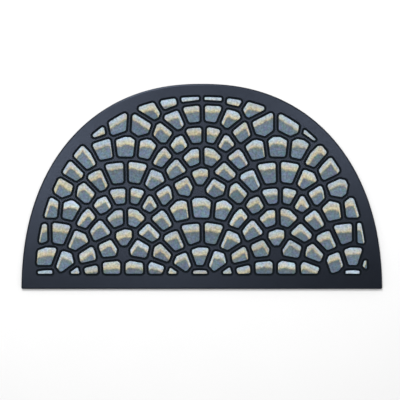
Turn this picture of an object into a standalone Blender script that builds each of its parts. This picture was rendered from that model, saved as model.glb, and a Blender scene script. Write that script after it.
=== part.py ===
"""Half-round rubber doormat with fan-laid paving stones moulded in its top.

Metres, +Z up. The mat lies flat, underside on Z = 0, its straight edge along X and the crown of
its arch towards +Y. The origin is on the underside, under the middle of the mat's width and depth.
Plan positions in the tables are measured from the middle of the straight edge, X right and Y up
the arch. The whole mat is one moulding: border, web, grooves and raised stones are one body.
"""
from collections import namedtuple

import bmesh
import bpy
import numpy as np
from mathutils import Vector
from mathutils.geometry import delaunay_2d_cdt

# Outline: a superellipse cut off along a straight edge a little above its long axis
MAT_WIDTH = 0.700
MAT_DEPTH = 0.398
ARCH_SQUARENESS = 2.234
ARCH_BASE_DROP = 0.0097
CORNER_RADIUS = 0.0032
ARCH_SEGMENTS = 72
CORNER_SEGMENTS = 3

# Heights above the floor
WEB_HEIGHT = 0.0074
STONE_HEIGHT = 0.0080
GROOVE_FLOOR_HEIGHT = 0.0052

# Widths in plan: the joints and borders are measured between the stones' edges, so they hold the
# grooves as well as the flat web. The arch's border widens evenly below a height up the mat.
ARCH_BORDER = 0.0260
ARCH_BORDER_AT_FOOT = 0.0292
BORDER_WIDENS_BELOW = 0.180
FOOT_BORDER = 0.0297
JOINT_WIDTH = 0.0107
GROOVE_WIDTH = 0.0026

# A stone's corners take the first of these radii that goes CORNER_ROOM times into its half width
STONE_CORNER_RADII = (0.0045, 0.0035, 0.0025, 0.0017, 0.0010)
CORNER_ROOM = 1.5
STONE_SIDES = 10

# Rounded edge of the mat, from the top inwards to the floor
Rim = namedtuple("Rim", "inset height")
RIM_PROFILE = (
    Rim(inset=0.0030, height=WEB_HEIGHT),
    Rim(inset=0.0009, height=0.0064),
    Rim(inset=0.0000, height=0.0043),
    Rim(inset=0.0000, height=0.0000),
)

# One fan of stones, repeated from every focus. The letter is the course, counted outwards from the
# keystones; e is the row of cut stones under a whole fan, f the ones in a half fan at the foot, and
# g are keystones cut to fit where a fan meets the course below it.
# Bearing is clockwise in degrees from straight up the mat, inner and outer are the radii about the
# focus that the stone keeps between, and its width is what its neighbours leave unless it is given.
FAR_AWAY = 1.0
Stone = namedtuple("Stone", "name bearing inner outer width", defaults=[FAR_AWAY])
FAN_STONES = (
    Stone("k1", 0, 0.011, 0.042, width=0.030),
    Stone("k2", -78, 0.014, 0.049),
    Stone("k3", 78, 0.012, 0.049),
    Stone("g1", -70, 0.016, 0.050),
    Stone("g2", -80, 0.011, 0.050, width=0.034),
    Stone("a1", -13, 0.049, 0.080),
    Stone("a2", 18, 0.051, 0.083),
    Stone("a3", -50, 0.043, 0.076),
    Stone("a4", 53, 0.043, 0.076),
    Stone("a5", -98, 0.056, 0.087),
    Stone("a6", 94, 0.057, 0.092),
    Stone("b1", -5, 0.092, 0.121),
    Stone("b2", 13, 0.094, 0.123),
    Stone("b3", -24, 0.084, 0.112),
    Stone("b4", 28, 0.090, 0.118),
    Stone("b5", -49, 0.085, 0.108),
    Stone("b6", 50, 0.081, 0.109),
    Stone("c1", -6, 0.132, 0.171),
    Stone("c2", 9, 0.134, 0.173),
    Stone("c3", -20, 0.125, 0.164),
    Stone("c4", 23, 0.131, 0.167),
    Stone("d1", 1, 0.183, 0.221),
    Stone("d2", 13, 0.184, 0.221),
    Stone("d3", -12, 0.182, 0.219),
    Stone("e1", -145, 0.023, 0.069),
    Stone("e2", 150, 0.022, 0.066),
    Stone("e3", 120, 0.055, 0.090),
    Stone("e4", -122, 0.055, 0.096),
    Stone("f1", 0, 0.091, 0.125),
    Stone("f2", 18, 0.081, 0.122),
    Stone("f3", -19, 0.081, 0.122),
    Stone("f4", 0, 0.058, 0.081, width=0.027),
    Stone("f5", -19, 0.084, 0.122, width=0.029),
    Stone("f6", -4, 0.058, 0.081, width=0.028),
)

# The fans' foci stand on every other point of a lattice, each row half a fan along from the next.
# A fan's column and row are counted from the middle point, and laid names its courses or stones.
LATTICE_MIDDLE = np.array([-0.003, 0.0735])
LATTICE_PITCH = np.array([0.1475, 0.1180])
Fan = namedtuple("Fan", "place column row laid")
FANS = (
    Fan("left", -1, 0, "k a b c d e"),
    Fan("right", 1, 0, "k a b c d e"),
    Fan("crown", 0, 1, "k1 g1 k3 a b c"),
    Fan("left_end", -2, 1, "k3 a4 a6 b6"),
    Fan("right_end", 2, 1, "g2 a3 a5 b5"),
    Fan("middle_foot", 0, -1, "c d f1 f2 f3 f4"),
    Fan("left_foot", -2, -1, "c1 c2 c4 d1 d2 f1 f2 f6"),
    Fan("right_foot", 2, -1, "c1 c2 c3 d1 d3 f1 f5 f4"),
)

# Cut stones that fill what the fans leave along the border, from the arch's left side over the
# crown to its right side, then at the foot. A sliver's point lies out in the border, so that the
# joint halfway to its neighbour leaves it narrow.
Fill = namedtuple("Fill", "x y")
FILL_STONES = (
    Fill(-0.206, 0.312),
    Fill(-0.163, 0.321),
    Fill(-0.118, 0.318),
    Fill(-0.073, 0.302),
    Fill(-0.100, 0.347),
    Fill(-0.068, 0.366),
    Fill(-0.023, 0.376),
    Fill(0.023, 0.377),
    Fill(0.066, 0.373),
    Fill(0.100, 0.351),
    Fill(0.075, 0.304),
    Fill(0.117, 0.318),
    Fill(0.170, 0.318),
    Fill(0.217, 0.310),
    Fill(0.328, 0.052),
    Fill(0.048, 0.024),
    Fill(-0.055, 0.024),
    Fill(-0.246, 0.024),
)

# How a stone's cell is cut: by tangents of its outer arc and of the border this far apart, and by
# this many neighbours, but not by one that two courses' arcs hold at least ARC_JOINT away
ARC_TANGENT_SPREAD = 0.007
CELL_NEIGHBOURS = 14
ARC_JOINT = 0.0085
BORDER_TANGENT_SPREAD = 0.0175
BORDER_SAMPLES = 2001
PARALLEL_SINE = 1e-3
TOUCHING = 1e-9
SAME_POINT = 1e-7

# Finish: linear colours, roughness, and the angle past which an edge is shaded sharp
RUBBER_COLOUR = (0.036, 0.043, 0.058, 1.0)
RUBBER_ROUGHNESS = 0.62
STONE_COLOUR = (0.23, 0.29, 0.38, 1.0)
STONE_ROUGHNESS = 0.90
SHARP_ANGLE = np.radians(25.0)


def clear_scene():
    for old in list(bpy.data.objects):
        bpy.data.objects.remove(old, do_unlink=True)


def make_material(name, colour, roughness):
    material = bpy.data.materials.new(name)
    material.use_nodes = True
    shader = material.node_tree.nodes["Principled BSDF"]
    shader.inputs["Base Color"].default_value = colour
    shader.inputs["Roughness"].default_value = roughness
    shader.inputs["Metallic"].default_value = 0.0
    material.diffuse_color = colour
    return material


def arch_points(count):
    """Evenly spaced points of the arch from its right foot to its left one, and outward normals.

    The arch is |x / half width| ** n + |(y + drop) / rise| ** n = 1, and its normal is the
    gradient of that sum.
    """
    half_width = MAT_WIDTH / 2
    rise = MAT_DEPTH + ARCH_BASE_DROP
    turn = np.linspace(0.0, np.pi, 2 * BORDER_SAMPLES)
    x = half_width * np.sign(np.cos(turn)) * np.abs(np.cos(turn)) ** (2 / ARCH_SQUARENESS)
    y = rise * np.sin(turn) ** (2 / ARCH_SQUARENESS)
    on_mat = y >= ARCH_BASE_DROP + CORNER_RADIUS
    x, y = x[on_mat], y[on_mat]
    run = np.concatenate([[0.0], np.cumsum(np.hypot(np.diff(x), np.diff(y)))])
    even = np.linspace(0.0, run[-1], count)
    x, y = np.interp(even, run, x), np.interp(even, run, y)
    power = ARCH_SQUARENESS - 1
    normals = np.stack([
        np.sign(x) * np.abs(x / half_width) ** power / half_width,
        (y / rise) ** power / rise,
    ], axis=1)
    normals /= np.linalg.norm(normals, axis=1, keepdims=True)
    return np.stack([x, y - ARCH_BASE_DROP], axis=1), normals


def mat_outline(inset):
    """The mat's outline drawn in by inset: the arch, then the two rounded corners of the foot."""
    arch, normals = arch_points(ARCH_SEGMENTS + 1)
    points = [*(arch - inset * normals)]
    reach = CORNER_RADIUS - inset
    quarter = np.linspace(0.0, np.pi / 2, CORNER_SEGMENTS + 1)
    for foot, turns in ((arch[-1], np.pi + quarter[1:]), (arch[0], 1.5 * np.pi + quarter[:-1])):
        centre = np.array([foot[0] - np.sign(foot[0]) * CORNER_RADIUS, CORNER_RADIUS])
        points += [centre + reach * np.array([np.cos(turn), np.sin(turn)]) for turn in turns]
    return np.array(points)


def is_laid(stone, fan):
    words = fan.laid.split()
    return stone.name in words or stone.name[0] in words


def focus_of(fan):
    return LATTICE_MIDDLE + LATTICE_PITCH * np.array([fan.column, fan.row])


def toward(bearing):
    """The unit vector at a bearing in radians, clockwise from straight up the mat."""
    return np.array([np.sin(bearing), np.cos(bearing)])


Laid = namedtuple("Laid", "centre place inner outer planes")


def lay_stones():
    """Every stone that is laid, fan by fan, then the fills.

    A fan's stone is centred halfway between its two arcs. Its planes are (outward normal, distance
    from the centre): three tangents of its outer arc, one of its inner arc, and its two sides.
    """
    laid = []
    for fan in FANS:
        for stone in FAN_STONES:
            if not is_laid(stone, fan):
                continue
            bearing = np.radians(stone.bearing)
            from_focus = (stone.inner + stone.outer) / 2 * toward(bearing)
            lean = ARC_TANGENT_SPREAD / stone.outer
            limits = [(toward(bearing + turn), stone.outer) for turn in (-lean, 0.0, lean)]
            limits.append((-toward(bearing), -stone.inner))
            sideways = toward(bearing + np.pi / 2)
            limits += [(sideways, stone.width / 2), (-sideways, stone.width / 2)]
            planes = [(normal, limit - from_focus @ normal) for normal, limit in limits]
            centre = focus_of(fan) + from_focus
            laid.append(Laid(centre, fan.place, stone.inner, stone.outer, planes))
    for fill in FILL_STONES:
        laid.append(Laid(np.array([fill.x, fill.y]), "border", 0.0, 0.0, []))
    return laid


def border_planes(centre, arch, normals):
    """The arch border's inner edge as tangents, and the foot border's inner edge."""
    nearest = int(np.argmin(np.linalg.norm(arch - centre, axis=1)))
    pitch = np.linalg.norm(arch[1] - arch[0])
    step = round(BORDER_TANGENT_SPREAD / pitch)
    widening = ((0.0, BORDER_WIDENS_BELOW), (ARCH_BORDER_AT_FOOT, ARCH_BORDER))
    planes = []
    for index in (nearest - step, nearest, nearest + step):
        index = min(max(index, 0), len(arch) - 1)
        normal = normals[index]
        border = np.interp(arch[index][1], *widening)
        planes.append((normal, (arch[index] - centre) @ normal - border))
    planes.append((np.array([0.0, -1.0]), centre[1] - FOOT_BORDER))
    return planes


def joint_planes(index, laid):
    """The middle of each joint to a neighbour, less half the joint's width."""
    own = laid[index]
    others = [item for place, item in enumerate(laid) if place != index]
    others.sort(key=lambda item: np.linalg.norm(item.centre - own.centre))
    planes = []
    for other in others[:CELL_NEIGHBOURS]:
        arc_gap = max(own.inner - other.outer, other.inner - own.outer)
        if own.place == other.place and arc_gap >= ARC_JOINT:
            continue
        span = other.centre - own.centre
        length = np.linalg.norm(span)
        planes.append((span / length, length / 2 - JOINT_WIDTH / 2))
    return planes


def cell_corners(normals, distances):
    """The corners of the convex cell inside all planes: each pair's meeting point, if inside."""
    first, second = np.triu_indices(len(distances), 1)
    cross = normals[first, 0] * normals[second, 1] - normals[first, 1] * normals[second, 0]
    meets = np.abs(cross) > PARALLEL_SINE
    first, second, cross = first[meets], second[meets], cross[meets]
    corners = np.stack([
        distances[first] * normals[second, 1] - distances[second] * normals[first, 1],
        normals[first, 0] * distances[second] - normals[second, 0] * distances[first],
    ], axis=1) / cross[:, None]
    inside = (corners @ normals.T <= distances + TOUCHING).all(axis=1)
    return corners[inside]


def stone_outline(index, laid, arch, normals):
    """A stone as (core, radius, directions): its edge is core + radius * directions.

    The core is the stone's cell drawn in by its corner radius, read at the corner that lies
    furthest in each direction, so any wider loop round the stone is core + more * directions.
    """
    centre = laid[index].centre
    planes = laid[index].planes + border_planes(centre, arch, normals) + joint_planes(index, laid)
    facing = np.array([plane[0] for plane in planes])
    away = np.array([plane[1] for plane in planes])
    turn = np.arange(STONE_SIDES) * 2 * np.pi / STONE_SIDES
    directions = np.stack([np.cos(turn), np.sin(turn)], axis=1)
    for radius in STONE_CORNER_RADII:
        if len(cell_corners(facing, away - CORNER_ROOM * radius)) >= 3:
            break
    corners = cell_corners(facing, away - radius)
    furthest = np.argmax(directions @ corners.T, axis=1)
    return centre + corners[furthest], radius, directions


def add_ring(mesh, points, height):
    """A closed ring of new vertices at one height, moved from the tables' origin to the mat's."""
    return [mesh.verts.new((x, y - MAT_DEPTH / 2, height)) for x, y in points]


def join_rings(mesh, outer, inner, slot):
    """A band of quads that faces up or out, from an outer ring to the next one inwards."""
    for place in range(len(outer)):
        after = (place + 1) % len(outer)
        face = mesh.faces.new((outer[place], outer[after], inner[after], inner[place]))
        face.material_index = slot


def fill_web(mesh, outline, holes, slot):
    """Flat triangles between the mat's top edge and the outer rings of all the grooves."""
    rings = [outline, *holes]
    vertices = [vertex for ring in rings for vertex in ring]
    owner = [number for number, ring in enumerate(rings) for _ in ring]
    edges = []
    start = 0
    for ring in rings:
        count = len(ring)
        edges += [(start + place, start + (place + 1) % count) for place in range(count)]
        start += count
    flat = [Vector(vertex.co[:2]) for vertex in vertices]
    inside_only = 1
    triangles = delaunay_2d_cdt(flat, edges, [], inside_only, SAME_POINT)[2]
    for corners in triangles:
        owners = {owner[corner] for corner in corners}
        if len(owners) == 1 and owners != {0}:
            continue
        face = mesh.faces.new([vertices[corner] for corner in corners])
        face.material_index = slot


def add_stone(mesh, outline, rubber_slot, stone_slot):
    """A groove, V-shaped in section, and the stone that stands inside it; returns its top ring."""
    core, radius, directions = outline
    loops = (
        (GROOVE_WIDTH, WEB_HEIGHT),
        (GROOVE_WIDTH / 2, GROOVE_FLOOR_HEIGHT),
        (0.0, STONE_HEIGHT),
    )
    rings = [add_ring(mesh, core + (radius + out) * directions, height) for out, height in loops]
    join_rings(mesh, rings[0], rings[1], rubber_slot)
    join_rings(mesh, rings[1], rings[2], rubber_slot)
    mesh.faces.new(rings[2]).material_index = stone_slot
    return rings[0]


def build_mat(collection):
    rubber_slot, stone_slot = 0, 1
    mesh = bmesh.new()
    arch, normals = arch_points(BORDER_SAMPLES)
    laid = lay_stones()

    rim = [add_ring(mesh, mat_outline(step.inset), step.height) for step in RIM_PROFILE]
    for inner, outer in zip(rim, rim[1:]):
        join_rings(mesh, outer, inner, rubber_slot)
    mesh.faces.new(reversed(rim[-1])).material_index = rubber_slot

    outlines = [stone_outline(index, laid, arch, normals) for index in range(len(laid))]
    holes = [add_stone(mesh, outline, rubber_slot, stone_slot) for outline in outlines]
    fill_web(mesh, rim[0], holes, rubber_slot)

    bmesh.ops.triangulate(mesh, faces=mesh.faces[:])
    data = bpy.data.meshes.new("rubber_mat")
    mesh.to_mesh(data)
    mesh.free()
    data.shade_smooth()
    data.set_sharp_from_angle(angle=SHARP_ANGLE)
    data.materials.append(make_material("rubber", RUBBER_COLOUR, RUBBER_ROUGHNESS))
    data.materials.append(make_material("printed_flock", STONE_COLOUR, STONE_ROUGHNESS))
    mat = bpy.data.objects.new("rubber_mat", data)
    collection.objects.link(mat)


clear_scene()
doormat = bpy.data.collections.new("half_round_doormat")
bpy.context.scene.collection.children.link(doormat)
build_mat(doormat)
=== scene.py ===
"""Half-round rubber doormat with flocked paving stones, seen from straight above.

Metres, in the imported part's frame: underside on Z = 0, straight edge along X, crown towards +Y.
Plan positions in the tables are measured from the middle of the straight edge, X right and Y up
the arch.
"""

from collections import namedtuple

import bpy
import numpy as np
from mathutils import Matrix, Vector
from mathutils.geometry import delaunay_2d_cdt


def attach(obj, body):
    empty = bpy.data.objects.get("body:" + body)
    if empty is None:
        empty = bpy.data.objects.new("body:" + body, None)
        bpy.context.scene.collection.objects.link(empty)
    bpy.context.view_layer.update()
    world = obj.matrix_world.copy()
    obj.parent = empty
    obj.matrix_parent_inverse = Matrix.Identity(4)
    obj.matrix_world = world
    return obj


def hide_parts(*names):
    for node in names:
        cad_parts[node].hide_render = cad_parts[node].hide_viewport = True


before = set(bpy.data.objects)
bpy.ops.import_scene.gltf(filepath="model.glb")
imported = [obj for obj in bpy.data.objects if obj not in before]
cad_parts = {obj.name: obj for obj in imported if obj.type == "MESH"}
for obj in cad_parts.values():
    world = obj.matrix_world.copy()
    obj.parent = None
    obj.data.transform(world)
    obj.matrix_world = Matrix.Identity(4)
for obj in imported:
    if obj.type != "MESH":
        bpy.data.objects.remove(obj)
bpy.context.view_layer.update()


# Moulded rubber body. The real mat is one compression moulding of recycled rubber, with a flat web
# and border, a rolled rim, and a narrow groove round every raised stone. The rubber is charcoal
# with a blue cast and a fine grain from the mould. The grooves, and a thin strip of web at their
# edge, are coloured near-black as painted shade for the shadow deep in the narrow grooves.
MAT_WIDTH = 0.700
MAT_DEPTH = 0.398
ARCH_SQUARENESS = 2.234
ARCH_BASE_DROP = 0.0097
CORNER_RADIUS = 0.0032
ARCH_SEGMENTS = 260
CORNER_SEGMENTS = 6
WEB_HEIGHT = 0.0074

# Rounded edge of the mat, from the floor upwards and inwards
Rim = namedtuple("Rim", "inset height")
RIM_PROFILE = (
    Rim(inset=0.0000, height=0.0000),
    Rim(inset=0.0000, height=0.0042),
    Rim(inset=0.0002, height=0.0051),
    Rim(inset=0.0006, height=0.0060),
    Rim(inset=0.0012, height=0.0067),
    Rim(inset=0.0020, height=0.0071),
    Rim(inset=0.0030, height=WEB_HEIGHT),
    Rim(inset=0.0031, height=WEB_HEIGHT),
)

# Groove round a stone, from the web down and up again. Offset is outwards from the stone's edge.
Loop = namedtuple("Loop", "offset height")
GROOVE_PROFILE = (
    Loop(offset=0.0043, height=WEB_HEIGHT),
    Loop(offset=0.0039, height=WEB_HEIGHT),
    Loop(offset=0.0035, height=0.0072),
    Loop(offset=0.0031, height=0.0066),
    Loop(offset=0.0025, height=0.0056),
    Loop(offset=0.0019, height=0.0052),
    Loop(offset=0.0010, height=0.0052),
    Loop(offset=0.0005, height=0.0057),
    Loop(offset=0.0000, height=0.0068),
    Loop(offset=-0.0003, height=0.0072),
)

# Faces that meet at more than this angle keep a sharp edge, and points nearer than this are one
SHARP_DEGREES = 50
SAME_POINT = 1e-7

# Widths in plan, measured between the stones' edges, so they hold the grooves as well as the flat
# web. The arch's border widens evenly below a height up the mat.
ARCH_BORDER = 0.0260
ARCH_BORDER_AT_FOOT = 0.0292
BORDER_WIDENS_BELOW = 0.180
FOOT_BORDER = 0.0297
JOINT_WIDTH = 0.0107

# A stone's corners take the first of these radii that goes CORNER_ROOM times into its half width
STONE_CORNER_RADII = (0.0045, 0.0035, 0.0025, 0.0017, 0.0010)
CORNER_ROOM = 1.5
FEWEST_CORNERS = 3

# Where the stones stand. The pattern is the pavior's fan: one fan of stones in arched courses,
# repeated from foci on a lattice, with cut stones filling the border. The letter is the course,
# counted outwards from the keystones; e is the row of cut stones under a whole fan, f the ones in
# a half fan at the foot, and g are keystones cut to fit where a fan meets the course below it.
# Bearing is clockwise in degrees from straight up the mat, inner and outer are the radii about the
# focus that the stone keeps between, and its width is what its neighbours leave unless it is given.
# FAR_AWAY stands for no limit.
FAR_AWAY = 1.0
Stone = namedtuple("Stone", "name bearing inner outer width", defaults=[FAR_AWAY])
FAN_STONES = (
    Stone("k1", 0, 0.011, 0.042, width=0.030),
    Stone("k2", -78, 0.014, 0.049),
    Stone("k3", 78, 0.012, 0.049),
    Stone("g1", -70, 0.016, 0.050),
    Stone("g2", -80, 0.011, 0.050, width=0.034),
    Stone("a1", -13, 0.049, 0.080),
    Stone("a2", 18, 0.051, 0.083),
    Stone("a3", -50, 0.043, 0.076),
    Stone("a4", 53, 0.043, 0.076),
    Stone("a5", -98, 0.056, 0.087),
    Stone("a6", 94, 0.057, 0.092),
    Stone("b1", -5, 0.092, 0.121),
    Stone("b2", 13, 0.094, 0.123),
    Stone("b3", -24, 0.084, 0.112),
    Stone("b4", 28, 0.090, 0.118),
    Stone("b5", -49, 0.085, 0.108),
    Stone("b6", 50, 0.081, 0.109),
    Stone("c1", -6, 0.132, 0.171),
    Stone("c2", 9, 0.134, 0.173),
    Stone("c3", -20, 0.125, 0.164),
    Stone("c4", 23, 0.131, 0.167),
    Stone("d1", 1, 0.183, 0.221),
    Stone("d2", 13, 0.184, 0.221),
    Stone("d3", -12, 0.182, 0.219),
    Stone("e1", -145, 0.023, 0.069),
    Stone("e2", 150, 0.022, 0.066),
    Stone("e3", 120, 0.055, 0.090),
    Stone("e4", -122, 0.055, 0.096),
    Stone("f1", 0, 0.091, 0.125),
    Stone("f2", 18, 0.081, 0.122),
    Stone("f3", -19, 0.081, 0.122),
    Stone("f4", 0, 0.058, 0.081, width=0.027),
    Stone("f5", -19, 0.084, 0.122, width=0.029),
    Stone("f6", -4, 0.058, 0.081, width=0.028),
)

# The fans' foci stand on every other point of a lattice, each row half a fan along from the next.
# A fan's column and row are counted from the middle point, and laid names its courses or stones.
LATTICE_MIDDLE = np.array([-0.003, 0.0735])
LATTICE_PITCH = np.array([0.1475, 0.1180])
Fan = namedtuple("Fan", "place column row laid")
FANS = (
    Fan("left", -1, 0, "k a b c d e"),
    Fan("right", 1, 0, "k a b c d e"),
    Fan("crown", 0, 1, "k1 g1 k3 a b c"),
    Fan("left_end", -2, 1, "k3 a4 a6 b6"),
    Fan("right_end", 2, 1, "g2 a3 a5 b5"),
    Fan("middle_foot", 0, -1, "c d f1 f2 f3 f4"),
    Fan("left_foot", -2, -1, "c1 c2 c4 d1 d2 f1 f2 f6"),
    Fan("right_foot", 2, -1, "c1 c2 c3 d1 d3 f1 f5 f4"),
)

# Cut stones that fill what the fans leave along the border, from the arch's left side over the
# crown to its right side, then at the foot. Each is only a point, and takes the shape that its
# neighbours leave.
Fill = namedtuple("Fill", "x y")
FILL_STONES = (
    Fill(-0.206, 0.312),
    Fill(-0.163, 0.321),
    Fill(-0.118, 0.318),
    Fill(-0.073, 0.302),
    Fill(-0.100, 0.347),
    Fill(-0.068, 0.366),
    Fill(-0.023, 0.376),
    Fill(0.023, 0.377),
    Fill(0.066, 0.373),
    Fill(0.100, 0.351),
    Fill(0.075, 0.304),
    Fill(0.117, 0.318),
    Fill(0.170, 0.318),
    Fill(0.217, 0.310),
    Fill(0.328, 0.052),
    Fill(0.048, 0.024),
    Fill(-0.055, 0.024),
    Fill(-0.246, 0.024),
)

# Tangents that round a cell along an arc and along the border, the joint that two courses of one
# fan leave by their arcs alone, and how many of the nearest stones may cut a cell. Two planes count
# as parallel below a sine, and a corner that only touches a plane counts as inside it.
ARC_TANGENT_SPREAD = 0.007
ARC_JOINT = 0.0085
CELL_NEIGHBOURS = 14
BORDER_TANGENT_SPREAD = 0.0175
BORDER_SAMPLES = 2001
PARALLEL_SINE = 1e-3
TOUCHING = 1e-9

# Directions in which a cell is read, points kept of them, and the length that a radian of turn
# counts for, which draws more of the points to the corners
OUTLINE_TURNS = 180
OUTLINE_POINTS = 60
CORNER_SHARE = 0.006


def arch_points(count):
    """Evenly spaced points of the arch and their outward normals.

    The arch is |x / half width| ** n + |(y + drop) / rise| ** n = 1, from foot to foot, and its
    normal is the gradient of that sum.
    """
    half_width = MAT_WIDTH / 2
    rise = MAT_DEPTH + ARCH_BASE_DROP
    turn = np.linspace(0.0, np.pi, 2 * BORDER_SAMPLES)
    x = half_width * np.sign(np.cos(turn)) * np.abs(np.cos(turn)) ** (2 / ARCH_SQUARENESS)
    y = rise * np.sin(turn) ** (2 / ARCH_SQUARENESS)
    on_mat = y >= ARCH_BASE_DROP + CORNER_RADIUS
    x, y = x[on_mat], y[on_mat]
    run = np.concatenate([[0.0], np.cumsum(np.hypot(np.diff(x), np.diff(y)))])
    even = np.linspace(0.0, run[-1], count)
    x, y = np.interp(even, run, x), np.interp(even, run, y)
    power = ARCH_SQUARENESS - 1
    normals = np.stack([
        np.sign(x) * np.abs(x / half_width) ** power / half_width,
        (y / rise) ** power / rise,
    ], axis=1)
    normals /= np.linalg.norm(normals, axis=1, keepdims=True)
    return np.stack([x, y - ARCH_BASE_DROP], axis=1), normals


def toward(bearing):
    """Unit vectors at bearings in radians, clockwise from straight up the mat."""
    return np.stack([np.sin(bearing), np.cos(bearing)], axis=-1)


def lay_stones():
    """Every stone's centre, own planes, fan number and arcs, fan by fan and then the fills.

    A fan's stone is centred halfway between its arcs. Its planes are three tangents of the outer
    arc, one of the inner arc, and its two sides, each a normal and a distance from the centre.
    """
    laid = [
        (number, fan, stone) for number, fan in enumerate(FANS) for stone in FAN_STONES
        if {stone.name, stone.name[0]} & set(fan.laid.split())
    ]
    foci = LATTICE_MIDDLE + LATTICE_PITCH * np.array([(fan.column, fan.row) for _, fan, _ in laid])
    bearing = np.radians([stone.bearing for _, _, stone in laid])
    inner, outer, width = np.array([(row.inner, row.outer, row.width) for _, _, row in laid]).T
    centres = foci + ((inner + outer) / 2)[:, None] * toward(bearing)
    lean = ARC_TANGENT_SPREAD / outer
    ahead, sideways = toward(bearing), toward(bearing + np.pi / 2)
    normals = [toward(bearing - lean), ahead, toward(bearing + lean), -ahead, sideways, -sideways]
    normals = np.stack(normals, axis=1)
    limits = np.stack([outer, outer, outer, -inner, width / 2, width / 2], axis=1)
    distances = limits - np.einsum("sx,spx->sp", centres - foci, normals)

    fills = len(FILL_STONES)
    own_planes = limits.shape[1]
    centres = np.concatenate([centres, [(fill.x, fill.y) for fill in FILL_STONES]])
    normals = np.concatenate([normals, np.tile([0.0, 1.0], (fills, own_planes, 1))])
    distances = np.concatenate([distances, np.full((fills, own_planes), FAR_AWAY)])
    fan_numbers = np.array([number for number, _, _ in laid] + [len(FANS)] * fills)
    arcs = np.concatenate([np.stack([inner, outer], axis=1), np.zeros((fills, 2))])
    return centres, normals, distances, fan_numbers, arcs


def cell_planes():
    """Every stone's centre, and the outward normals of the planes that cut it and how far they lie.

    They are its own planes, three tangents of the arch border, the foot border, and the near side
    of each joint to a neighbour, unless the arcs of two courses of one fan already leave a joint.
    """
    centres, own_normals, own_distances, fan_numbers, arcs = lay_stones()
    arch, arch_normals = arch_points(BORDER_SAMPLES)
    step = round(BORDER_TANGENT_SPREAD / np.linalg.norm(arch[1] - arch[0]))
    nearest = np.argmin(np.linalg.norm(centres[:, None] - arch, axis=2), axis=1)
    touched = np.clip(nearest[:, None] + np.array([-step, 0, step]), 0, len(arch) - 1)
    border_normals = arch_normals[touched]
    widening = ((0.0, BORDER_WIDENS_BELOW), (ARCH_BORDER_AT_FOOT, ARCH_BORDER))
    borders = np.interp(arch[touched][..., 1], *widening)
    inwards = ((arch[touched] - centres[:, None]) * border_normals).sum(axis=2) - borders
    foot_normals = np.tile([0.0, -1.0], (len(centres), 1, 1))
    foot_distances = centres[:, 1:] - FOOT_BORDER

    spans = centres[None] - centres[:, None]
    lengths = np.linalg.norm(spans, axis=2)
    np.fill_diagonal(lengths, FAR_AWAY)
    near = np.argsort(lengths, axis=1)[:, :CELL_NEIGHBOURS]
    own = np.arange(len(centres))[:, None]
    joint_normals = spans[own, near] / lengths[own, near][..., None]
    joint_distances = lengths[own, near] / 2 - JOINT_WIDTH / 2
    inner, outer = arcs.T
    arc_gaps = np.maximum(inner[own] - outer[near], inner[near] - outer[own])
    parted = (fan_numbers[own] == fan_numbers[near]) & (arc_gaps >= ARC_JOINT)
    joint_distances = np.where(parted, FAR_AWAY, joint_distances)

    normals = [own_normals, border_normals, foot_normals, joint_normals]
    distances = [own_distances, inwards, foot_distances, joint_distances]
    return centres, np.concatenate(normals, axis=1), np.concatenate(distances, axis=1)


def cell_corners(normals, distances):
    """Where each pair of a cell's planes meets, and whether that point is inside all the others."""
    first, second = np.triu_indices(distances.shape[1], 1)
    one, two = normals[:, first], normals[:, second]
    reach_one, reach_two = distances[:, first], distances[:, second]
    cross = one[..., 0] * two[..., 1] - one[..., 1] * two[..., 0]
    meets = np.abs(cross) > PARALLEL_SINE
    corners = np.stack([
        reach_one * two[..., 1] - reach_two * one[..., 1],
        one[..., 0] * reach_two - two[..., 0] * reach_one,
    ], axis=2) / np.where(meets, cross, 1.0)[..., None]
    beyond = np.einsum("scx,spx->scp", corners, normals) - distances[:, None]
    return corners, meets & (beyond <= TOUCHING).all(axis=2)


def stone_outlines(centres, normals, distances):
    """Every stone as core points, unit directions and a radius.

    Its edge is core + radius * direction. The core is the cell drawn in by the corner radius, read
    at the corner that lies furthest in each direction. The points are then spread evenly by length,
    with some more round the corners.
    """
    turn = np.arange(OUTLINE_TURNS + 1) * 2 * np.pi / OUTLINE_TURNS
    spokes = np.stack([np.cos(turn), np.sin(turn)], axis=1)
    radii = np.zeros(len(centres))
    cores = np.zeros((len(centres), len(spokes), 2))
    waiting = np.ones(len(centres), dtype=bool)
    for radius in STONE_CORNER_RADII:
        drawn_in = cell_corners(normals, distances - CORNER_ROOM * radius)[1]
        roomy = drawn_in.sum(axis=1) >= FEWEST_CORNERS
        chosen = waiting & (roomy | (radius == STONE_CORNER_RADII[-1]))
        corners, inside = cell_corners(normals[chosen], distances[chosen] - radius)
        reach = np.where(inside[..., None], corners @ spokes.T, -FAR_AWAY)
        furthest = np.argmax(reach, axis=1)
        cores[chosen] = np.take_along_axis(corners, furthest[..., None], axis=1)
        radii[chosen] = radius
        waiting &= ~chosen
    cores += centres[:, None]

    edge = cores + radii[:, None, None] * spokes
    steps = np.linalg.norm(np.diff(edge, axis=1), axis=2) + CORNER_SHARE * (turn[1] - turn[0])
    runs = np.concatenate([np.zeros((len(centres), 1)), np.cumsum(steps, axis=1)], axis=1)
    share = np.arange(OUTLINE_POINTS) / OUTLINE_POINTS
    angles = np.stack([np.interp(share * run[-1], run, turn) for run in runs])
    place = angles / turn[1]
    low = np.floor(place).astype(int)
    part = (place - low)[..., None]
    own = np.arange(len(centres))[:, None]
    cores = cores[own, low] * (1 - part) + cores[own, low + 1] * part
    return cores, np.stack([np.cos(angles), np.sin(angles)], axis=2), radii[:, None, None]


stone_centres, plane_normals, plane_distances = cell_planes()
stone_cores, stone_directions, stone_radii = stone_outlines(
    stone_centres, plane_normals, plane_distances
)
stone_count = len(stone_centres)


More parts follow.
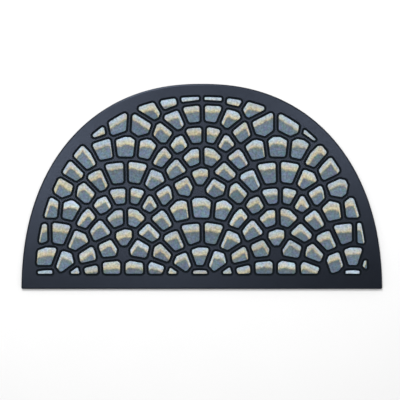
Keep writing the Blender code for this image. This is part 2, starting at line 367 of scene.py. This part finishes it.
def loops_round_stones(profile):
    """Closed loops round every stone: (offset outwards, height) carried along its outline.

    Each point is core + (radius + offset) * direction, and it is moved from the tables' origin
    to the mat's. The result has the shape stones, loops, points, 3.
    """
    offsets, heights = np.array(profile).T[:, None, :, None]
    reach = np.maximum(stone_radii + offsets, 0.0)[..., None]
    plan = stone_cores[:, None] + reach * stone_directions[:, None]
    plan = plan - np.array([0.0, MAT_DEPTH / 2])
    tall = np.broadcast_to(heights[..., None], plan.shape[:3] + (1,))
    return np.concatenate([plan, tall], axis=3)


def band_faces(loops, points):
    """Quads between each loop and the next one inwards, facing up or out, as rows of four."""
    here = np.arange(points)
    after = (here + 1) % points
    quads = np.stack([here, after, after + points, here + points], axis=1)
    return (quads[None] + points * np.arange(loops - 1)[:, None, None]).reshape(-1, 4)


def shell(name, vertices, faces, materials, face_slots, sharp_degrees=None):
    """A mesh object at the origin from whole arrays, shaded smooth."""
    mesh = bpy.data.meshes.new(name)
    mesh.from_pydata(vertices.tolist(), [], faces)
    for material in materials:
        mesh.materials.append(material)
    mesh.polygons.foreach_set("material_index", face_slots)
    mesh.shade_smooth()
    if sharp_degrees:
        mesh.set_sharp_from_angle(angle=np.radians(sharp_degrees))
    mesh.validate()
    piece = bpy.data.objects.new(name, mesh)
    bpy.context.scene.collection.objects.link(piece)
    return piece


# Sockets of a Mix node that is set to colours
MIX_SHARE = 0
MIX_FIRST = 6
MIX_SECOND = 7
MIXED_COLOUR = 2


class Tone:
    """A socket of a material. Arithmetic on it adds Math nodes, and add brings any other node."""

    def __init__(self, tree, socket=None):
        self.tree = tree
        self.socket = socket

    def add(self, kind, settings=None, sockets=None, out=0):
        """A new node of this kind with its settings, then its sockets, as the Tone of one output."""
        node = self.tree.nodes.new(kind)
        for name, value in (settings or {}).items():
            setattr(node, name, value)
        for key, value in (sockets or {}).items():
            if isinstance(value, Tone):
                self.tree.links.new(value.socket, node.inputs[key])
            else:
                node.inputs[key].default_value = value
        return Tone(self.tree, node.outputs[out])

    def math(self, operation, *values):
        return self.add("ShaderNodeMath", {"operation": operation}, dict(enumerate(values)))

    def mix(self, first, second):
        """Colour from first to second as this tone goes from 0 to 1."""
        sockets = {MIX_SHARE: self, MIX_FIRST: first, MIX_SECOND: second}
        return self.add("ShaderNodeMix", {"data_type": "RGBA"}, sockets, out=MIXED_COLOUR)

    def overlaid(self, colour, share):
        """This colour with a share of another overlaid, which deepens its lights and darks."""
        settings = {"data_type": "RGBA", "blend_type": "OVERLAY"}
        sockets = {MIX_SHARE: share, MIX_FIRST: self, MIX_SECOND: colour}
        return self.add("ShaderNodeMix", settings, sockets, out=MIXED_COLOUR)

    def tint(self, colour):
        """This tone as a grey multiplied into a colour."""
        settings = {"operation": "SCALE"}
        return self.add("ShaderNodeVectorMath", settings, {0: colour, "Scale": self})

    def clamped(self):
        """This tone kept between 0 and 1."""
        return self.math("MINIMUM", self.math("MAXIMUM", self, 0.0), 1.0)

    def bump(self, strength, depth):
        """The surface's normal with this tone as its height."""
        sockets = {"Strength": strength, "Distance": depth, "Height": self}
        return self.add("ShaderNodeBump", None, sockets)

    def __add__(self, other):
        return self.math("ADD", self, other)

    def __radd__(self, other):
        return self.math("ADD", other, self)

    def __sub__(self, other):
        return self.math("SUBTRACT", self, other)

    def __rsub__(self, other):
        return self.math("SUBTRACT", other, self)

    def __mul__(self, other):
        return self.math("MULTIPLY", self, other)

    def __rmul__(self, other):
        return self.math("MULTIPLY", other, self)

    def __truediv__(self, other):
        return self.math("DIVIDE", self, other)


def new_finish(name, **constants):
    """A material of one Principled shader with its constants set; its Tone and its shader."""
    material = bpy.data.materials.new(name)
    material.use_nodes = True
    shader = material.node_tree.nodes["Principled BSDF"]
    for key, value in constants.items():
        shader.inputs[key.replace("_", " ")].default_value = value
    return material, Tone(material.node_tree), shader


def feed(tone, shader, key):
    tone.tree.links.new(tone.socket, shader.inputs[key])


# A layer of noise: features to the metre, octaves and their roughness, and how much of it goes
# into the finish's light and dark and into its relief
Grain = namedtuple("Grain", "scale detail roughness shade relief", defaults=[0.0, 0.0])


def noise(tone, where, grain, out="Fac"):
    """Soft noise with a mean of one half."""
    sockets = {
        "Vector": where, "Scale": grain.scale, "Detail": grain.detail, "Roughness": grain.roughness,
    }
    return tone.add("ShaderNodeTexNoise", None, sockets, out=out)


CHARCOAL = (0.0024, 0.0029, 0.0041)
BLUE_CAST = (0.60, 0.72, 1.0, 1.0)
CHARCOAL_SHADE = 0.82
RUBBER_ROUGHNESS = 0.29
MOTTLE_ROUGHENS = 0.06
MOULD_MOTTLE = Grain(55.0, 3.0, 0.5, shade=0.24)
MOULD_GRAIN = Grain(620.0, 2.0, 0.6, shade=0.14, relief=0.7)
MOULD_SPECKLE = Grain(1900.0, 1.0, 0.5, relief=0.3)
MOULD_RELIEF_STRENGTH = 0.25
MOULD_RELIEF_DEPTH = 0.0003


def grainy_rubber():
    """Base colour: charcoal, lighter and darker by mottle and grain; bump: grain and speckle."""
    material, tone, shader = new_finish(
        "grainy_rubber",
        Specular_Tint=BLUE_CAST,
        Specular_IOR_Level=0.42,
    )
    where = tone.add("ShaderNodeTexCoord", out="Object")
    mottle = noise(tone, where, MOULD_MOTTLE)
    grain = noise(tone, where, MOULD_GRAIN)
    speckle = noise(tone, where, MOULD_SPECKLE)
    shade = CHARCOAL_SHADE + MOULD_MOTTLE.shade * mottle + MOULD_GRAIN.shade * grain
    feed(shade.tint(CHARCOAL), shader, "Base Color")
    feed(RUBBER_ROUGHNESS + MOTTLE_ROUGHENS * mottle, shader, "Roughness")
    relief = grain * MOULD_GRAIN.relief + speckle * MOULD_SPECKLE.relief
    feed(relief.bump(MOULD_RELIEF_STRENGTH, MOULD_RELIEF_DEPTH), shader, "Normal")
    return material


# Painted shade: near-black for the shadow deep in the narrow grooves and on the web's edge beside
# them
GROOVE_PAINTED_SHADE = (0.0020, 0.0048, 0.0080)
PAINTED_SHADE_BASE = 0.6
PAINTED_SHADE_ROUGHNESS = 0.80
GRAIN_ROUGHENS = 0.1
PAINTED_SHADE_GRAIN = Grain(620.0, 2.0, 0.5, shade=0.8)


def inked_groove():
    """Matt near-black painted shade for the grooves and the web's edge beside them, with the grain
    showing faintly.
    """
    material, tone, shader = new_finish("inked_groove", Specular_IOR_Level=0.15)
    where = tone.add("ShaderNodeTexCoord", out="Object")
    grain = noise(tone, where, PAINTED_SHADE_GRAIN)
    feed((PAINTED_SHADE_BASE + PAINTED_SHADE_GRAIN.shade * grain).tint(GROOVE_PAINTED_SHADE), shader, "Base Color")
    feed(PAINTED_SHADE_ROUGHNESS + GRAIN_ROUGHENS * grain, shader, "Roughness")
    return material


def mat_outline(inset):
    """The mat's outline drawn in by inset: the arch, then the two rounded corners of the foot."""
    arch, normals = arch_points(ARCH_SEGMENTS + 1)
    parts = [arch - inset * normals]
    reach = CORNER_RADIUS - inset
    quarter = np.linspace(0.0, np.pi / 2, CORNER_SEGMENTS + 1)
    for foot, turns in ((arch[-1], np.pi + quarter[1:]), (arch[0], 1.5 * np.pi + quarter[:-1])):
        centre = np.array([foot[0] - np.sign(foot[0]) * CORNER_RADIUS, CORNER_RADIUS])
        parts.append(centre + reach * np.stack([np.cos(turns), np.sin(turns)], axis=1))
    return np.concatenate(parts) - np.array([0.0, MAT_DEPTH / 2])


def rubber_body():
    """One closed moulding: the rim's rings, the flat web, and the grooves round all the stones.

    The web is the flat triangulation between the rim's last ring and every groove's first loop.
    """
    rim = [np.insert(mat_outline(inset), 2, height, axis=1) for inset, height in RIM_PROFILE]
    rim_points = len(rim[0])
    rim_vertices = np.concatenate(rim)
    rim_faces = band_faces(len(rim), rim_points)
    loops = len(GROOVE_PROFILE)
    groove = loops_round_stones(GROOVE_PROFILE)
    per_stone = loops * OUTLINE_POINTS
    base = len(rim_vertices) + per_stone * np.arange(stone_count)
    groove_faces = (band_faces(loops, OUTLINE_POINTS)[None] + base[:, None, None]).reshape(-1, 4)

    top_ring = np.arange(rim_points) + rim_points * (len(rim) - 1)
    rings = [top_ring, *(np.arange(OUTLINE_POINTS) + base[:, None])]
    vertices = np.concatenate([rim_vertices, groove.reshape(-1, 3)])
    members = np.concatenate(rings)
    owner = np.repeat(np.arange(len(rings)), [len(ring) for ring in rings])
    starts = np.concatenate([[0], np.cumsum([len(ring) for ring in rings])])
    edges = [
        pair for start, end in zip(starts, starts[1:])
        for pair in zip(range(start, end), [*range(start + 1, end), start])
    ]
    flat = list(map(Vector, vertices[members, :2].tolist()))
    inside_only = 1
    triangles = np.array(delaunay_2d_cdt(flat, edges, [], inside_only, SAME_POINT)[2])
    owners = owner[triangles]
    in_stone = (owners == owners[:, :1]).all(axis=1) & (owners[:, 0] > 0)
    web = members[triangles[~in_stone]]

    stone_tops = (base + per_stone - OUTLINE_POINTS)[:, None] + np.arange(OUTLINE_POINTS)
    underside = np.arange(rim_points)[::-1]
    faces = [
        *rim_faces.tolist(), *groove_faces.tolist(), *web.tolist(), *stone_tops.tolist(),
        underside.tolist(),
    ]
    slots = np.zeros(len(faces), dtype=int)
    # The groove bands, with the web's edge beside them, take the near-black painted shade
    slots[len(rim_faces):len(rim_faces) + len(groove_faces)] = 1
    finishes = (grainy_rubber(), inked_groove())
    return shell("rubber_body", vertices, faces, finishes, slots, sharp_degrees=SHARP_DEGREES)


body = rubber_body()
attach(body, "root")
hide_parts("rubber_mat")


# Flocked stone pads. Short nylon fibres are flocked on the top of every raised stone and printed:
# a pale blue sky-lit top edge, a ragged ochre band under it, and slate blue below. The pile is
# rounded over at the stone's edge and stands less than a millimetre over the rubber.
PAD_PROFILE = (
    Loop(offset=-0.0005, height=0.0071),
    Loop(offset=-0.0003, height=0.0073),
    Loop(offset=-0.0003, height=0.0075),
    Loop(offset=-0.0005, height=0.0077),
    Loop(offset=-0.0008, height=0.0079),
    Loop(offset=-0.0012, height=0.0080),
)
PILE_HEIGHT = 0.0080

# Loops that fill a pad's top, as shares of the way from its middle to its edge
PAD_FILL_SHARES = (0.86, 0.70, 0.54, 0.38, 0.22, 0.09)

# A side of a stone counts as its upper edge from this much upward facing, and two such sides are
# blended over this length
UPWARD_FACING = 0.12
DROP_BLEND = 0.0014
MILLIMETRE = 0.001

# The print's colours, and where they change, in millimetres below the stone's upper edge
SKY_BLUE = (0.278, 0.350, 0.420, 1.0)
OCHRE = (0.380, 0.345, 0.235, 1.0)
SHADE_LINE = (0.150, 0.130, 0.090, 1.0)
DUSK_GREY = (0.105, 0.121, 0.110, 1.0)
SLATE_BLUE = (0.091, 0.127, 0.168, 1.0)
OCHRE_STARTS = 0.0
OCHRE_FULL = 12.0
SLATE_STARTS = 12.2
SLATE_FULL = 14.2
DUSK_FADES_OVER = 9.0
LINE_WIDTH = 1.6

# How far noise moves the two borders of the print, in millimetres: the soft one where ochre comes
# in, and the sharper one where slate starts, with a thin line of shade along it
OCHRE_DRIFTS = 17.0
OCHRE_FRAYS = 6.0
SLATE_WANDERS = 9.0
SLATE_FRAYS = 2.6
LINE_SHOWS = 0.55
PATCHES_IN_PALE = 0.18
PATCHES_IN_SLATE = 0.38
PRINT_DRIFT = Grain(62.0, 3.0, 0.6)
PRINT_WANDER = Grain(95.0, 3.0, 0.55)
PRINT_FRAY = Grain(480.0, 2.0, 0.5)
PRINT_PATCHES = Grain(150.0, 2.0, 0.6)
PILE_FIBRES = Grain(900.0, 2.0, 0.7, shade=0.50, relief=0.6)
PILE_TUFTS = Grain(270.0, 2.0, 0.6, shade=1.55, relief=0.4)
PILE_RELIEF_STRENGTH = 0.5
PILE_RELIEF_DEPTH = 0.0006

# What differs from stone to stone: how far the slate and ochre borders move, in millimetres, and
# how bright the pale part and the slate part are
Chance = namedtuple("Chance", "name mean spread")
STONE_CHANCES = (
    Chance("lift", mean=0.0, spread=1.2),
    Chance("warmth", mean=0.0, spread=1.4),
    Chance("glow", mean=1.0, spread=0.07),
    Chance("slate", mean=1.0, spread=0.09),
)
PRINT_SEED = 41


def drop_below_top(points):
    """Height of the stone's upper edge straight above a point, in metres.

    For each plane that faces up the mat it is (distance - normal . point) / normal's y, and the
    planes are joined by a soft minimum, -blend * log(sum(exp(-drop / blend))).
    """
    local = points[..., :2] + np.array([0.0, MAT_DEPTH / 2]) - stone_centres[:, None, None]
    rise = plane_normals[..., 1]
    faces_up = rise > UPWARD_FACING
    gap = plane_distances[:, None, None] - np.einsum("slpx,snx->slpn", local, plane_normals)
    drop = gap / np.where(faces_up, rise, 1.0)[:, None, None]
    drop = np.where(faces_up[:, None, None], drop, FAR_AWAY)
    return -DROP_BLEND * np.log(np.exp(-drop / DROP_BLEND).sum(axis=3))


def printed_flock():
    """Base colour: sky blue to ochre to slate by drop plus noise, times the fibres' light and dark.

    Each share rises from 0 to 1 between two drops, and the two borders wander by their own noise.
    """
    material, tone, shader = new_finish(
        "printed_flock",
        Roughness=0.92,
        Specular_IOR_Level=0.2,
        Sheen_Weight=0.2,
        Sheen_Roughness=0.55,
        Sheen_Tint=(0.80, 0.90, 1.0, 1.0),
    )
    where = tone.add("ShaderNodeTexCoord", out="Object")
    drop, lift, warmth, glow, depth_of_slate = (
        tone.add("ShaderNodeAttribute", {"attribute_name": name}, out="Fac")
        for name in ("drop", "lift", "warmth", "glow", "slate")
    )
    wander = noise(tone, where, PRINT_WANDER) - 0.5
    fray = noise(tone, where, PRINT_FRAY) - 0.5
    border = drop + lift + SLATE_WANDERS * wander + SLATE_FRAYS * fray
    drift = noise(tone, where, PRINT_DRIFT) - 0.5
    bleed = drop + warmth + OCHRE_DRIFTS * drift + OCHRE_FRAYS * fray
    ochre = ((bleed - OCHRE_STARTS) / (OCHRE_FULL - OCHRE_STARTS)).clamped()
    slate = ((border - SLATE_STARTS) / (SLATE_FULL - SLATE_STARTS)).clamped()
    blue = ((border - SLATE_STARTS) / DUSK_FADES_OVER).clamped()
    line = (1.0 - tone.math("ABSOLUTE", border - SLATE_STARTS) / LINE_WIDTH).clamped()

    patches = noise(tone, where, PRINT_PATCHES, out="Color")
    pale = ochre.mix(SKY_BLUE, OCHRE).overlaid(patches, PATCHES_IN_PALE)
    dark = blue.mix(DUSK_GREY, SLATE_BLUE).overlaid(patches, PATCHES_IN_SLATE)
    printed = slate.mix((LINE_SHOWS * line).mix(pale, SHADE_LINE), dark)

    fibre = noise(tone, where, PILE_FIBRES)
    tuft = noise(tone, where, PILE_TUFTS)
    ink = glow + slate * (depth_of_slate - glow)
    shade = 1.0 + PILE_FIBRES.shade * (fibre - 0.5) + PILE_TUFTS.shade * (tuft - 0.5)
    feed((shade * ink).tint(printed), shader, "Base Color")
    relief = fibre * PILE_FIBRES.relief + tuft * PILE_TUFTS.relief
    feed(relief.bump(PILE_RELIEF_STRENGTH, PILE_RELIEF_DEPTH), shader, "Normal")
    return material


def stone_pads():
    """All the pads as one piece: rounded edge loops, then loops drawn in to each stone's middle."""
    edge = loops_round_stones(PAD_PROFILE)
    middle = edge[:, -1:].mean(axis=2, keepdims=True)
    shares = np.array(PAD_FILL_SHARES)[None, :, None, None]
    top = middle + (edge[:, -1:] - middle) * shares
    top[..., 2] = PILE_HEIGHT
    loops = np.concatenate([edge, top], axis=1)
    count = loops.shape[1]
    poles = middle[:, 0]
    poles[..., 2] = PILE_HEIGHT
    per_stone = count * OUTLINE_POINTS
    base = per_stone * np.arange(stone_count)
    bands = (band_faces(count, OUTLINE_POINTS)[None] + base[:, None, None]).reshape(-1, 4)
    here = np.arange(OUTLINE_POINTS)
    after = (here + 1) % OUTLINE_POINTS
    last = base[:, None] + per_stone - OUTLINE_POINTS
    pole = np.repeat(per_stone * stone_count + np.arange(stone_count)[:, None], len(here), axis=1)
    caps = np.stack([last + here, last + after, pole], axis=2).reshape(-1, 3)
    bottoms = base[:, None] + here[::-1]
    faces = [*bands.tolist(), *caps.tolist(), *bottoms.tolist()]
    vertices = np.concatenate([loops.reshape(-1, 3), poles.reshape(-1, 3)])
    slots = np.zeros(len(faces), dtype=int)
    piece = shell("stone_pads", vertices, faces, (printed_flock(),), slots)

    drops = [drop_below_top(loops).reshape(-1), drop_below_top(poles[:, None]).reshape(-1)]
    per_vertex = {"drop": np.concatenate(drops) / MILLIMETRE}
    draws = np.random.default_rng(PRINT_SEED)
    for row in STONE_CHANCES:
        values = draws.normal(row.mean, row.spread, stone_count)
        per_vertex[row.name] = np.concatenate([np.repeat(values, per_stone), values])
    for name, values in per_vertex.items():
        layer = piece.data.attributes.new(name, "FLOAT", "POINT")
        layer.data.foreach_set("value", values.astype(np.float32))
    return piece


pads = stone_pads()
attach(pads, "root")
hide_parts("rubber_mat")


# Floor. A plain white studio table with a faint unevenness, which isn't part of the object. It
# lies a hair below the underside, so that the two flat faces stay apart.
FLOOR_HALF = 5.0
FLOOR_DROP = 0.0002
FLOOR_WHITE = (0.74, 0.74, 0.74)
FLOOR_SHADE = 0.98
FLOOR_MOTTLE = Grain(8.0, 2.0, 0.5, shade=0.02)


def studio_floor():
    """A flat square just below the mat's underside."""
    corners = np.array([(-1, -1, 0), (1, -1, 0), (1, 1, 0), (-1, 1, 0)]) * FLOOR_HALF
    corners[:, 2] = -FLOOR_DROP
    material, tone, shader = new_finish("white_floor", Roughness=0.9, Specular_IOR_Level=0.1)
    where = tone.add("ShaderNodeTexCoord", out="Object")
    shade = FLOOR_SHADE + FLOOR_MOTTLE.shade * noise(tone, where, FLOOR_MOTTLE)
    feed(shade.tint(FLOOR_WHITE), shader, "Base Color")
    return shell("studio_floor", corners, [[0, 1, 2, 3]], (material,), [0])


floor = studio_floor()


# Light and camera. The main softbox stands beyond the mat's crown and three weaker ones hang over
# the table, in a room with white walls and a dim ceiling. The camera looks straight down from two
# metres above.
def softbox(name, place, size, watts):
    """A square area light at place that faces the mat's middle."""
    lamp = bpy.data.lights.new(name, "AREA")
    lamp.shape = "SQUARE"
    lamp.size = size
    lamp.energy = watts
    holder = bpy.data.objects.new(name, lamp)
    holder.location = place
    holder.rotation_mode = "QUATERNION"
    holder.rotation_quaternion = (-Vector(place)).to_track_quat("-Z", "Y")
    bpy.context.scene.collection.objects.link(holder)


softbox("left_softbox", place=(-0.95, 0.3, 2.8), size=0.4, watts=15.0)
softbox("right_softbox", place=(0.6, 0.35, 1.7), size=0.5, watts=5.8)
softbox("middle_softbox", place=(-0.1, -0.1, 2.2), size=0.5, watts=3.5)
softbox("crown_softbox", place=(-0.4, 1.3, 2.0), size=0.7, watts=44.0)


# The room's glow by how far up the view goes, from 0 at the horizon to 1 overhead
WALL_GLOW = 0.95
CEILING_GLOW = 0.08
WALL_TOP = 0.58
CEILING_EDGE = 0.80
world = bpy.data.worlds.new("white_room")
bpy.context.scene.world = world
world.use_nodes = True
room = Tone(world.node_tree)
facing = room.add("ShaderNodeTexCoord", out="Generated")
upwards = room.add("ShaderNodeSeparateXYZ", None, {"Vector": facing}, out="Z")
walls = 1.0 - ((upwards - WALL_TOP) / (CEILING_EDGE - WALL_TOP)).clamped()
glow = CEILING_GLOW + (WALL_GLOW - CEILING_GLOW) * walls
backdrop = world.node_tree.nodes["Background"]
backdrop.inputs["Color"].default_value = (1.0, 1.0, 1.0, 1.0)
room.tree.links.new(glow.socket, backdrop.inputs["Strength"])

CAMERA_HEIGHT = 2.0
CAMERA_PLACE = (-0.0034, -0.0264)
LENS = 93.0
camera_data = bpy.data.cameras.new("camera")
camera_data.lens = LENS
camera_data.sensor_width = 36.0
camera_data.clip_start = 0.05
camera = bpy.data.objects.new("camera", camera_data)
camera.location = (*CAMERA_PLACE, CAMERA_HEIGHT + PILE_HEIGHT)
bpy.context.scene.collection.objects.link(camera)
bpy.context.scene.camera = camera

bpy.context.scene.view_settings.view_transform = "Standard"
bpy.context.scene.view_settings.look = "None"
